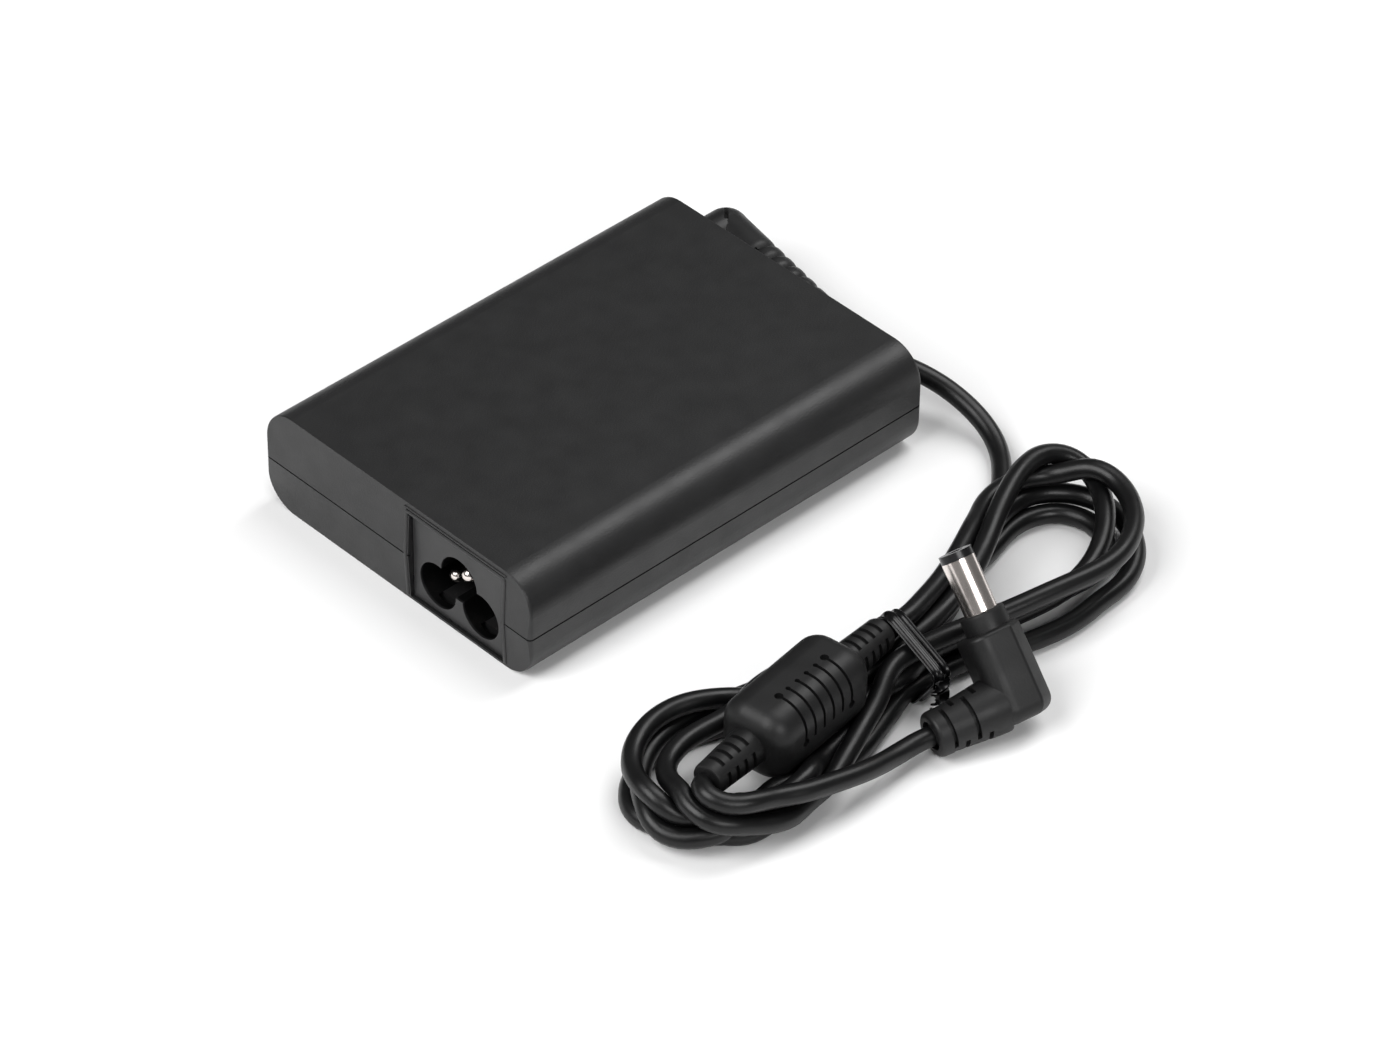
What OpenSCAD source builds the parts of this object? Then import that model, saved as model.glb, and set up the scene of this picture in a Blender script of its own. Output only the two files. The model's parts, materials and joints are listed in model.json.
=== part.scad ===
// Slim laptop power adapter with a three-lobed mains inlet, a right-angle
// output cord folded into a tied hank, a ferrite choke and a barrel plug.
// Millimetres, +Z up, origin at the centre of the case's footprint.
// The mains inlet is in the -X end and the output cord leaves the +X end.

/* [Case] */
// Length of the case at its top and base
body_l = 86; // [80:1:100]
// How far each end face stands out at the line between the shells
end_draft = 0.5; // [0.2:0.1:0.6]
// Width of the case
body_w = 63; // [61:1:74]
// Height of the case
body_h = 19.8; // [19.4:0.2:22]
// Height of the line where the two shells meet
part_z = 9.4; // [9:0.1:10]
// Rounding of the long edges
edge_r = 6.2; // [5:0.1:7]
// Rounding of the end faces' rims
rim_r = 0.8; // [0.5:0.1:1.2]
// Wall thickness of the shells
wall = 2.2; // [1.8:0.1:2.4]

/* [Mains inlet] */
// Centre of the inlet across the case
inlet_y = -13.8; // [-15:0.1:-13]
// Width of the inlet's face
inlet_w = 21.7; // [21:0.1:22]
// Distance between the two line pins
pin_pitch = 10; // [9.8:0.1:10.2]
// Radius of each lobe of the recess
lobe_r = 4.2; // [4:0.1:4.3]
// Diameter of the pins
pin_d = 2.4; // [2.2:0.1:2.5]

/* [Output cord] */
// Diameter of the cord
cord_d = 3.4; // [3:0.1:3.5]
// Height of the hank's near loops
hank_near_h = 8.5; // [7:0.5:10]
// Height of the hank's far loops
hank_far_h = 10.5; // [9:0.5:12]
// Width of the tie's band
tie_band = 3.6; // [3:0.1:4]

/* [Choke and plug] */
// Length of the choke's body without its reliefs
choke_l = 24; // [22:1:26]
// Width and height of the choke's body
choke_w = 13; // [12.5:0.5:13]
// Outer diameter of the plug's barrel
barrel_d = 5.5; // [4.8:0.1:5.5]
// Diameter of the bore in the plug's barrel
barrel_bore = 2.5; // [2.1:0.1:2.5]
// Length of the plug's metal barrel
barrel_l = 8.9; // [8.5:0.1:10]

/* [Hidden] */
$fn = 64;
eps = 0.01;
far = 200;

half_l = body_l / 2;
half_w = body_w / 2;

// Colours
shell_black = [0.16, 0.16, 0.17];
rubber_black = [0.11, 0.11, 0.12];
deep_black = [0.05, 0.05, 0.06];
nickel = [0.80, 0.79, 0.76];
board_green = [0.10, 0.35, 0.18];
ferrite_grey = [0.22, 0.22, 0.24];
copper = [0.72, 0.42, 0.20];
aluminium = [0.75, 0.76, 0.78];
can_blue = [0.12, 0.18, 0.38];
tape_yellow = [0.85, 0.72, 0.20];
film_yellow = [0.90, 0.75, 0.10];
sheet_white = [0.90, 0.90, 0.86];
fuse_white = [0.85, 0.83, 0.78];
label_grey = [0.75, 0.75, 0.76];
disc_green = [0.15, 0.30, 0.20];
disc_blue = [0.15, 0.40, 0.70];
wire_red = [0.70, 0.10, 0.10];

// Shells: the line where they meet
seam_h = 0.3;
seam_depth = 0.4;
inner_r = edge_r - wall;

// Inlet: the face sits in a window through both shells
inlet_lo_z = 0.5;
inlet_hi_z = 17.3;
inlet_set_back = 0.6;
inlet_face_x = -half_l + inlet_set_back;
inlet_back_x = -half_l + 17;
recess_depth = 14.6;
line_z = 6;
earth_z = 10.2;
line_tip_x = -half_l + 3.5;
earth_tip_x = -half_l + 1.6;
recess_floor_x = inlet_face_x + recess_depth;
pin_tail_x = inlet_back_x + 1.2;
pin_root_d = 2;
pin_tab_l = 3.2;
pin_tab_w = 1.8;
pin_tab_t = 1;
ledge_depth = 0.45;
ledge_h = 1.3;
ledge_margin = 0.6;
web_lift = 2;

// Board and the layers above and below it
layer_gap = 0.1;
spreader_t = 0.6;
sheet_t = 0.4;
lower_spreader_z = wall + layer_gap;
lower_sheet_z = lower_spreader_z + spreader_t + layer_gap;
board_z = 4.2;
board_t = 1.6;
board_top = board_z + board_t;
board_rear_x = half_l - wall - 1.3;
board_front_x = -half_l + wall + 1;
board_step_x = inlet_back_x + 1.5;
board_half_w = half_w - wall - 1.6;
board_step_y = inlet_y + inlet_w / 2 + 1.6;
upper_spreader_z = body_h - wall - layer_gap - spreader_t;
upper_sheet_z = upper_spreader_z - layer_gap - sheet_t;
layer_half_w = half_w - wall - 3.6;
layer_front_x = inlet_back_x + 1.2;
layer_rear_x = half_l - wall - 4.2;

// What the board carries: places are low corners, or an axis's start
part_gap = 0.1;
part_top_h = 10.2;
fuse_at = [-22, -25];
fuse_d = 3.4;
fuse_l = 10;
fuse_cap_d = 3.8;
fuse_cap_l = 2.2;
fuse_lip = 0.2;
thermistor_at = [-10, -19.5];
thermistor_d = 8;
thermistor_l = 4;
filter_choke_at = [-12.5, -6, board_top + part_gap];
core_in_r = 3.4;
core_wide = 3.4;
core_h = 7;
winding_t = 1;
winding_angle = 110;
winding_starts = [35, 215];
film_capacitor_at = [-38.5, -0.2];
film_capacitor_size = [13, 5.6, 10];
bridge_at = [-12, 7];
bridge_size = [3.6, 15, 10];
bulk_x = -38.5;
bulk_ys = [11.2, 21.6];
bulk_d = 10;
bulk_l = 24;
crimp_z = 1.6;
crimp_h = 0.8;
crimp_depth = 0.4;
sink_t = 1.5;
primary_sink_at = [-6.4, 4];
primary_sink_w = 21;
transistor_y = 5;
package_tab_t = 1.2;
package_body_t = 3.2;
package_body_h = 8.6;
package_w = 10;
transformer_at = [13, 0, board_top];
transformer_size = [20, 22, part_top_h];
transformer_plate = 2.2;
transformer_post_r = 4;
core_window_w = 16;
core_window_h = transformer_size.z - 2 * transformer_plate;
ceramic_xs = [-2.6, 3.4];
ceramic_y = -18;
ceramic_d = 7;
ceramic_l = 3.2;
optocoupler_at = [10, -19];
optocoupler_size = [4.6, 6.5, 3.5];
chips_at = [[10, -26], [17, -26], [18, -18]];
chip_size = [5, 4, 1.5];
secondary_sink_at = [25.6, -10];
secondary_sink_w = 20;
rectifier_y = 5;
inductor_at = [33, -19];
inductor_d = 9;
inductor_waist_d = 8;
inductor_h = 8;
inductor_flange_t = 1.2;
output_cans_at = [[26.5, 15.6], [26.5, 23.6], [35.2, 13.8]];
output_can_d = 7.6;
wire_x = 35;
wire_r = 0.8;
wire_half_gap = 2.2;

// Label recess on the underside
label_l = 62;
label_w = 40;
label_t = 0.2;
label_recess = 0.3;
label_margin = 0.5;
label_corner = 2;

// Strain relief: a neck, a ball corner and a slotted arm along the rear wall
relief_y = 22.8;
relief_z = 10.2;
relief_r = 4.25;
relief_out = 8.4;
relief_corner = [half_l + relief_out, relief_y, relief_z];
relief_heading = -97.7;
relief_arm_l = 28;
relief_tip_r = 2.8;
relief_neck_w = 8.4;
relief_flange_w = 10;
relief_flange_t = 1.2;
rib_pitch = 3.3;
rib_count = 6;
rib_slot = 1.1;
rib_depth = 1;
first_rib = 8;
corner_slot_at = 1.5;
corner_slot_w = 1;
corner_slot_depth = 1.2;

// Route of the free lead, from the relief's tip to the hank
LEAD = [
  [47.6, -5, 10.2], [47, -10, 10], [47.3, -15, 9.7], [48.5, -19.5, 9.1],
  [50.5, -24, 8.2], [52.4, -28.6, 6.4], [53.1, -33, 4.8], [52.8, -37.5, 3.4],
  [51.5, -41.3, 2.4], [48.9, -44.8, 1.9], [45.5, -48.1, 1.8], [41.6, -51.2, 1.8],
  [38, -53.7, 1.8], [35, -55.5, 1.8]
];

// The choke lies on the near loops
choke_at = [-24.8, -71.6, 10.8];
choke_heading = 8;
choke_round = 4.7;
choke_relief_l = 10.2;
choke_relief_root = 0.8;
choke_relief_r = 3.5;
choke_relief_tip_r = 2.8;
choke_slots = [2.2, 4.2, 6.2, 8.2];
choke_slot_t = 0.8;
choke_slot_depth = 0.7;
ferrite_d = 9.6;
ferrite_bore = 4.4;
ferrite_l = 17;
groove_count = 6;
groove_pitch = 2.3;
groove_t = 0.5;
groove_depth = 0.5;
groove_dot_d = 1.5;

// Route of the tail, from the choke's lower relief to the plug's relief
TAIL = [
  [-47, -74.7, 10.8], [-49.3, -75.4, 10.5], [-50.2, -77.4, 10.1],
  [-48.6, -79.3, 9.8], [-45.2, -80.7, 9.5], [-40.6, -82.4, 8.9],
  [-34.3, -84.3, 8.1], [-27.3, -85.5, 6.9], [-21.5, -85.5, 5.5],
  [-17, -85, 4.4], [-13, -84.6, 3.6], [-8.8, -85.4, 3.8]
];

// Hank outline: near loops, waist under the tie, far loops
NEAR = [[-45.2, -66.8, 10.6], [-30, -70, 13.4]];
FAR = [[42.6, -65.4, 11.4], [28, -69.6, 12.2]];
waist_at = [-0.9, -74, 0];
waist_heading = -5.5;
waist_half = 6.6;
waist_lift = 0.8;
waist_top = 11.6;
choke_bed_w = choke_w + 1.4;
choke_bed_l = 50;
plug_bed_gap = 0.4;

// Tie: a flat band round the waist, its twisted ends hanging at the front
tie_t = 0.8;
tie_corner = 3;
twist_d = 2;
twist_lo_z = 4.5;
twist_hi_z = 10.5;
tie_end_l = 3.6;
tie_end_w = 1.7;
tie_end_tilt = 14;
tie_end_lo_z = 0.6;

// Plug: its relief lies along its own X axis and the barrel along its Z axis
plug_at = [6.4, -89.3, 5.7];
plug_turn = [-43, -7, -14.3];
plug_len = 10.4;
plug_wide = 9.4;
plug_down = 3.9;
plug_up = 11.2;
plug_bevel = 2.6;
plug_round = 2.4;
neck_d = 7;
neck_l = 3;
tip_l = 1.3;
plug_relief_l = 10.6;
plug_relief_r = 3.9;
plug_collar_r = 3.3;
plug_slots = [2, 4, 6, 8];
plug_slot_t = 0.9;
plug_slot_depth = 0.7;
barrel_wall = 0.35;
contact_wall = 0.45;
contact_base = 0.6;
barrel_z = plug_up + neck_l;

// ---------- shared shapes ----------

// Flat outline with four round corners, centred
module round_rect(l, w, r) {
  square([l - 2 * r, w], center = true);
  square([l, w - 2 * r], center = true);
  for (sx = [-1, 1], sy = [-1, 1])
    translate([sx * (l / 2 - r), sy * (w / 2 - r)]) circle(r);
}

// Round bar along X whose two rims are rounded
module rimmed_bar(l, r, rim) {
  rotate([0, 90, 0]) rotate_extrude() intersection() {
    round_rect(2 * r, l, rim);
    translate([0, -l / 2]) square([r, l]);
  }
}

// Flat-ended block with rounded long edges and finely rounded end rims
module rounded_block(l, w, h, r, rim) {
  for (y = [-1, 1], z = [r, h - r])
    translate([0, y * (w / 2 - r), z]) rimmed_bar(l, r, rim);
  translate([0, w / 2 - r, h / 2]) rotate([90, 0, 0])
    linear_extrude(w - 2 * r) round_rect(l, h, rim);
  translate([0, 0, r]) linear_extrude(h - 2 * r) round_rect(l, w, rim);
}

// The whole case as one solid: each end slopes back from the parting line
module case_solid() {
  widest = half_l + end_draft;
  difference() {
    rounded_block(2 * widest, body_w, body_h, edge_r, rim_r);
    for (side = [-1, 1]) rotate([90, 0, 0]) linear_extrude(far, center = true)
      polygon([
        [side * widest, part_z], [side * half_l, body_h],
        [side * half_l, body_h + 1], [side * (widest + 1), body_h + 1],
        [side * (widest + 1), -1], [side * half_l, -1], [side * half_l, 0]
      ]);
  }
}

// The space inside the shells
module case_cavity() {
  l = body_l - 2 * wall;
  w = body_w - 2 * wall;
  h = body_h - 2 * wall;
  for (y = [-1, 1], z = [inner_r, h - inner_r])
    translate([-l / 2, y * (w / 2 - inner_r), wall + z])
      rotate([0, 90, 0]) cylinder(h = l, r = inner_r);
  translate([-l / 2, -(w / 2 - inner_r), wall]) cube([l, w - 2 * inner_r, h]);
  translate([-l / 2, -w / 2, wall + inner_r]) cube([l, w, h - 2 * inner_r]);
}

// Window through the front wall for the inlet's face
module inlet_window() {
  translate([-half_l - 1, inlet_y - inlet_w / 2, inlet_lo_z])
    cube([wall + 2, inlet_w, inlet_hi_z - inlet_lo_z]);
}

// Shallow step in the upper shell above the inlet's face
module inlet_ledge() {
  translate([-half_l - 1, inlet_y - inlet_w / 2 - ledge_margin, inlet_hi_z - eps])
    cube([1 + ledge_depth, inlet_w + 2 * ledge_margin, ledge_h]);
}

// Hole in the rear wall for the strain relief's neck
module relief_hole() {
  translate([half_l - wall - 1, relief_y - relief_neck_w / 2,
             relief_z - relief_neck_w / 2])
    cube([wall + 2, relief_neck_w, relief_neck_w]);
}

// Point k of a route, its direction there, and one ring of the tube round it
function unit(v) = v / norm(v);
function heading_at(p, k) =
  unit(p[min(k + 1, len(p) - 1)] - p[max(k - 1, 0)]);
function side_at(p, k) = unit(cross(heading_at(p, k), [0, 0, 1]));
function ring_at(p, k, r, n) =
  let (u = side_at(p, k), v = cross(u, heading_at(p, k)))
  [for (i = [0:n - 1])
    p[k] + r * (cos(360 * (i + 0.5) / n) * u + sin(360 * (i + 0.5) / n) * v)];

// Tube of n sides swept along a route of points
module tube_along(p, d, n = 8) {
  r = d / 2;
  last = len(p) - 1;
  points = [for (k = [0:last], q = ring_at(p, k, r, n)) q];
  sides = [for (k = [0:last - 1], i = [0:n - 1])
    let (j = (i + 1) % n)
    [k * n + i, k * n + j, (k + 1) * n + j, (k + 1) * n + i]];
  near_cap = [[for (i = [n - 1:-1:0]) i]];
  far_cap = [[for (i = [0:n - 1]) last * n + i]];
  polyhedron(points, concat(sides, near_cap, far_cap));
}

// Cone along X from x0 to x1 with ring slots cut at the given places
module slotted_cone(x0, r0, x1, r1, slots, slot_t, depth) {
  l = x1 - x0;
  difference() {
    translate([x0, 0, 0]) rotate([0, 90, 0]) cylinder(h = l, r1 = r0, r2 = r1);
    for (x = slots) {
      r = r0 + (r1 - r0) * (x - x0) / l;
      translate([x - slot_t / 2, 0, 0]) rotate([0, 90, 0]) difference() {
        cylinder(h = slot_t, r = r + 1);
        translate([0, 0, -1]) cylinder(h = slot_t + 2, r = r - depth);
      }
    }
  }
}

// ---------- case ----------

module upper_shell() {
  color(shell_black) difference() {
    case_solid();
    translate([-far / 2, -far / 2, -far]) cube([far, far, far + part_z]);
    case_cavity();
    inlet_window();
    inlet_ledge();
    relief_hole();
  }
}

module lower_shell() {
  color(shell_black) difference() {
    case_solid();
    translate([-far / 2, -far / 2, part_z]) cube([far, far, far]);
    case_cavity();
    inlet_window();
    relief_hole();
    translate([0, 0, part_z - seam_h]) linear_extrude(seam_h + 1)
      difference() {
        square([far, far], center = true);
        round_rect(2 * (half_l + end_draft - seam_depth), body_w - 2 * seam_depth, rim_r);
      }
    translate([0, 0, -1]) linear_extrude(1 + label_recess)
      round_rect(label_l + 2 * label_margin, label_w + 2 * label_margin,
                 label_corner + label_margin);
  }
}

module rating_label() {
  color(label_grey) translate([0, 0, label_recess - label_t])
    linear_extrude(label_t) round_rect(label_l, label_w, label_corner);
}

// ---------- mains inlet ----------

// Outline of the three-lobed recess, seen along the pins
module clover() {
  for (y = [-1, 1]) translate([y * pin_pitch / 2, line_z]) circle(lobe_r);
  translate([0, earth_z]) circle(lobe_r);
  polygon([[-pin_pitch / 2, line_z + web_lift], [0, line_z + web_lift / 2],
           [pin_pitch / 2, line_z + web_lift], [0, earth_z]]);
}

// Extrudes an outline drawn in (Y, Z) along +X from x0
module along_x(x0, l) {
  translate([x0, 0, 0]) rotate([90, 0, 90]) linear_extrude(l) children();
}

// Hole for one pin through the back of the housing
module pin_hole(y, z) {
  translate([recess_floor_x - 1, y, z])
    rotate([0, 90, 0]) cylinder(h = inlet_back_x - recess_floor_x + 2, d = pin_root_d);
}

module inlet_housing() {
  color(shell_black) translate([0, inlet_y, 0]) difference() {
    union() {
      translate([inlet_face_x, -inlet_w / 2, inlet_lo_z])
        cube([wall - inlet_set_back, inlet_w, inlet_hi_z - inlet_lo_z]);
      translate([-half_l + wall, -inlet_w / 2, wall])
        cube([inlet_back_x + half_l - wall, inlet_w, inlet_hi_z - wall]);
    }
    along_x(inlet_face_x - 1, recess_depth + 1) clover();
    for (y = [-1, 1]) pin_hole(y * pin_pitch / 2, line_z);
    pin_hole(0, earth_z);
  }
}

// Round pin along X: domed tip towards -X, narrower root through the housing
module contact_pin(tip_x, z) {
  r = pin_d / 2;
  translate([tip_x + r, 0, z]) sphere(r);
  translate([tip_x + r, 0, z]) rotate([0, 90, 0])
    cylinder(h = recess_floor_x - tip_x - r, r = r);
  translate([recess_floor_x - eps, 0, z]) rotate([0, 90, 0])
    cylinder(h = pin_tail_x - recess_floor_x + eps, d = pin_root_d);
}

module inlet_line_pins() {
  color(nickel) for (y = [-1, 1]) translate([0, inlet_y + y * pin_pitch / 2, 0]) {
    contact_pin(line_tip_x, line_z);
    translate([pin_tail_x - eps, -pin_tab_w / 2, board_top])
      cube([pin_tab_l, pin_tab_w, pin_tab_t]);
  }
}

module inlet_earth_pin() {
  color(nickel) translate([0, inlet_y, 0]) {
    contact_pin(earth_tip_x, earth_z);
    translate([pin_tail_x - eps, -pin_tab_w / 2, board_top])
      cube([pin_tab_t, pin_tab_w, earth_z - board_top]);
  }
}

// ---------- board and what it carries ----------

// Plain layer above or below the board, behind the inlet
module layer(z, t) {
  translate([layer_front_x, -layer_half_w, z])
    cube([layer_rear_x - layer_front_x, 2 * layer_half_w, t]);
}

module main_board() {
  color(board_green) translate([0, 0, board_z]) linear_extrude(board_t)
    polygon([[board_step_x, -board_half_w], [board_rear_x, -board_half_w],
             [board_rear_x, board_half_w], [board_front_x, board_half_w],
             [board_front_x, board_step_y], [board_step_x, board_step_y]]);
}

module lower_insulating_sheet() {
  color(sheet_white) layer(lower_sheet_z, sheet_t);
}

module lower_heat_spreader() {
  color(aluminium) layer(lower_spreader_z, spreader_t);
}

module upper_insulating_sheet() {
  color(sheet_white) layer(upper_sheet_z, sheet_t);
}

module upper_heat_spreader() {
  color(aluminium) layer(upper_spreader_z, spreader_t);
}

// Box standing on the board, its low corner at p
module on_board(p, size) {
  translate([p.x, p.y, board_top]) cube(size);
}

// Round part lying on the board along X, its end at p
module lying(p, d, l) {
  translate([p.x, p.y, board_top + d / 2]) rotate([0, 90, 0]) cylinder(h = l, d = d);
}

// Fuse: a tube with a wider cap at each end
module fuse() {
  color(fuse_white) {
    lying(fuse_at, fuse_d, fuse_l);
    for (x = [-fuse_lip, fuse_l - fuse_cap_l + fuse_lip])
      lying(fuse_at + [x, 0], fuse_cap_d, fuse_cap_l);
  }
}

module thermistor() {
  color(disc_green) lying(thermistor_at, thermistor_d, thermistor_l);
}

// Ring of the filter choke's core, or anything with its section
module core_ring() {
  translate([0, 0, winding_t]) rotate_extrude()
    translate([core_in_r, 0]) square([core_wide, core_h]);
}

module filter_choke_core() {
  color(ferrite_grey) translate(filter_choke_at) core_ring();
}

// Two windings, each round one side of the core
module filter_choke_windings() {
  color(copper) translate(filter_choke_at) difference() {
    for (a = winding_starts) rotate([0, 0, a])
      rotate_extrude(angle = winding_angle) translate([core_in_r - winding_t, 0])
        square([core_wide + 2 * winding_t, core_h + 2 * winding_t]);
    core_ring();
  }
}

module film_capacitor() {
  color(film_yellow) on_board(film_capacitor_at, film_capacitor_size);
}

module bridge_rectifier() {
  color(deep_black) on_board(bridge_at, bridge_size);
}

// Wound can with a crimped rim near one end, standing along Z
module can(d, l) {
  difference() {
    cylinder(h = l, d = d);
    translate([0, 0, crimp_z]) difference() {
      cylinder(h = crimp_h, d = d + 1);
      translate([0, 0, -1]) cylinder(h = crimp_h + 2, d = d - 2 * crimp_depth);
    }
  }
}

module bulk_capacitors() {
  color(can_blue) for (y = bulk_ys)
    translate([bulk_x, y, board_top + bulk_d / 2]) rotate([0, 90, 0]) can(bulk_d, bulk_l);
}

module primary_heat_sink() {
  color(aluminium) on_board(primary_sink_at, [sink_t, primary_sink_w, part_top_h]);
}

// Flat power package: a metal tab with a plastic body on its +X side
module power_package(p) {
  on_board(p, [package_tab_t, package_w, part_top_h]);
  on_board(p + [package_tab_t, 0], [package_body_t, package_w, package_body_h]);
}

module switching_transistor() {
  color(deep_black) power_package(primary_sink_at + [sink_t, transistor_y]);
}

// Transformer core: two plates, two side legs and a round centre post
module transformer_core() {
  color(ferrite_grey) translate(transformer_at) {
    difference() {
      translate([-transformer_size.x / 2, -transformer_size.y / 2, 0])
        cube(transformer_size);
      translate([-transformer_size.x, -core_window_w / 2, transformer_plate])
        cube([2 * transformer_size.x, core_window_w, core_window_h]);
    }
    translate([0, 0, transformer_plate - eps])
      cylinder(h = core_window_h + 2 * eps, r = transformer_post_r);
  }
}

module transformer_winding() {
  inner = transformer_post_r + part_gap;
  color(tape_yellow) translate(transformer_at + [0, 0, transformer_plate + part_gap])
    rotate_extrude() translate([inner, 0])
      square([core_window_w / 2 - 2 * part_gap - inner, core_window_h - 2 * part_gap]);
}

module ceramic_capacitors() {
  color(disc_blue) for (x = ceramic_xs) lying([x, ceramic_y], ceramic_d, ceramic_l);
}

module optocoupler() {
  color(sheet_white) on_board(optocoupler_at, optocoupler_size);
}

module control_chips() {
  color(deep_black) for (p = chips_at) on_board(p, chip_size);
}

module secondary_heat_sink() {
  color(aluminium) on_board(secondary_sink_at, [sink_t, secondary_sink_w, part_top_h]);
}

module output_rectifier() {
  color(deep_black) power_package(secondary_sink_at + [sink_t, rectifier_y]);
}

// Drum-shaped inductor
module output_inductor() {
  color(copper) translate([inductor_at.x, inductor_at.y, board_top]) {
    cylinder(h = inductor_h, d = inductor_waist_d);
    for (z = [0, inductor_h - inductor_flange_t]) translate([0, 0, z])
      cylinder(h = inductor_flange_t, d = inductor_d);
  }
}

module output_capacitors() {
  color(can_blue) for (p = output_cans_at)
    translate([p.x, p.y, board_top]) can(output_can_d, part_top_h);
}

// Two short wires from the board up and back into the strain relief
module output_wires() {
  color(wire_red) for (side = [-1, 1])
    translate([wire_x, relief_y + side * wire_half_gap, 0]) {
      translate([0, 0, board_top]) cylinder(h = relief_z - board_top, r = wire_r);
      translate([0, 0, relief_z]) sphere(wire_r);
      translate([0, 0, relief_z]) rotate([0, 90, 0])
        cylinder(h = half_l - wall - relief_flange_t - wire_x, r = wire_r);
    }
}

// ---------- output cord ----------

module cord_strain_relief() {
  ribs = [for (k = [0:rib_count - 1]) first_rib + k * rib_pitch];
  flange_x = half_l - wall - relief_flange_t;
  color(rubber_black) {
    translate([flange_x, relief_y - relief_flange_w / 2,
               relief_z - relief_flange_w / 2])
      cube([relief_flange_t, relief_flange_w, relief_flange_w]);
    translate([flange_x, relief_y - relief_neck_w / 2,
               relief_z - relief_neck_w / 2])
      cube([half_l + end_draft - flange_x + eps, relief_neck_w, relief_neck_w]);
    translate([half_l + end_draft, relief_y, relief_z]) rotate([0, 90, 0])
      cylinder(h = relief_out - end_draft, r = relief_r);
    translate(relief_corner) difference() {
      sphere(relief_r);
      rotate([0, 0, 45]) difference() {
        translate([corner_slot_at, -corner_slot_w / 2, -far / 2])
          cube([far, corner_slot_w, far]);
        sphere(relief_r - corner_slot_depth);
      }
    }
    translate(relief_corner) rotate([0, 0, relief_heading])
      slotted_cone(0, relief_r, relief_arm_l, relief_tip_r, ribs, rib_slot, rib_depth);
  }
}

module output_cord_lead() {
  color(rubber_black) tube_along(LEAD, cord_d);
}

module output_cord_tail() {
  color(rubber_black) tube_along(TAIL, cord_d);
}

// Outline of one end of the hank, from its loops to its waist
module loops_outline(circles) {
  hull() {
    for (c = circles) translate([c.x, c.y]) circle(c.z);
    translate([waist_at.x, waist_at.y]) circle(waist_half);
  }
}

// Places its children in the waist's own frame, strands along X
module at_waist() {
  translate(waist_at) rotate([0, 0, waist_heading]) children();
}

module output_cord_hank() {
  color(rubber_black) {
    difference() {
      linear_extrude(hank_near_h) loops_outline(NEAR);
      at_waist() translate([-tie_band / 2, -far / 2, -1]) cube(far);
      translate(choke_at) rotate([0, 0, choke_heading])
        translate([-choke_bed_l / 2, -choke_bed_w / 2, -choke_w / 2])
          cube([choke_bed_l + far, choke_bed_w, far]);
    }
    difference() {
      linear_extrude(hank_far_h) loops_outline(FAR);
      at_waist() translate([tie_band / 2 - far, -far / 2, -1]) cube(far);
      translate(plug_at) rotate(plug_turn)
        translate([-plug_len / 2 - plug_bed_gap, -plug_wide / 2 - plug_bed_gap,
                   -plug_down])
          cube([plug_len + 2 * plug_bed_gap, plug_wide + 2 * plug_bed_gap, far]);
    }
    at_waist() along_x(-tie_band / 2 - eps, tie_band + 2 * eps)
      translate([0, (waist_lift + waist_top) / 2])
        round_rect(2 * waist_half, waist_top - waist_lift, tie_corner - tie_t);
  }
}

// Band round the waist, from the surface up over the top strands
module hank_tie() {
  outer_w = 2 * (waist_half + tie_t);
  outer_h = waist_top + tie_t;
  color(deep_black) at_waist() {
    along_x(-tie_band / 2, tie_band) translate([0, outer_h / 2]) difference() {
      round_rect(outer_w, outer_h, tie_corner);
      round_rect(outer_w - 2 * tie_t, outer_h - 2 * tie_t, tie_corner - tie_t);
    }
    translate([0, -outer_w / 2 - twist_d / 2 + eps, twist_lo_z])
      cylinder(h = twist_hi_z - twist_lo_z, d = twist_d);
    for (side = [-1, 1])
      translate([side * tie_end_w / 2, -outer_w / 2 - twist_d / 2, tie_end_lo_z])
        rotate([0, side * tie_end_tilt, 0])
          translate([-tie_end_w / 2, -tie_t / 2, 0])
            cube([tie_end_w, tie_t, tie_end_l + 1]);
  }
}

// ---------- choke ----------

// Places its children in the choke's own frame, cord along X
module at_choke() {
  translate(choke_at) rotate([0, 0, choke_heading]) children();
}

// One curved groove over the upper front edge, with a dot at each end if wanted
module choke_groove(x, dots) {
  inner = choke_w - 2 * groove_depth;
  difference() {
    translate([x - groove_t / 2, -choke_w, 0]) cube([groove_t, choke_w - 1, choke_w]);
    along_x(x - groove_t, 2 * groove_t) round_rect(inner, inner, choke_round - groove_depth);
  }
  if (dots) {
    translate([x, -1, choke_w / 2 - groove_depth])
      cylinder(h = 1, d = groove_dot_d);
    translate([x, -choke_w / 2 + groove_depth, 0]) rotate([90, 0, 0])
      cylinder(h = 1, d = groove_dot_d);
  }
}

module choke_shell() {
  corner = [choke_l / 2 - choke_round, choke_w / 2 - choke_round,
            choke_w / 2 - choke_round];
  color(rubber_black) at_choke() {
    difference() {
      hull() for (x = [-1, 1], y = [-1, 1], z = [-1, 1])
        translate([x * corner.x, y * corner.y, z * corner.z])
          sphere(choke_round, $fn = 32);
      translate([-ferrite_l / 2, 0, 0]) rotate([0, 90, 0])
        cylinder(h = ferrite_l, d = ferrite_d);
      for (k = [0:groove_count - 1], turn = [0, 180])
        rotate([turn, 0, 0])
          choke_groove((k - (groove_count - 1) / 2) * groove_pitch,
                       k == 0 || k == groove_count - 1);
    }
    for (a = [0, 180]) rotate([0, 0, a])
      translate([choke_l / 2 - choke_relief_root, 0, 0])
        slotted_cone(0, choke_relief_r, choke_relief_l + choke_relief_root,
                     choke_relief_tip_r, choke_slots, choke_slot_t, choke_slot_depth);
  }
}

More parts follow.
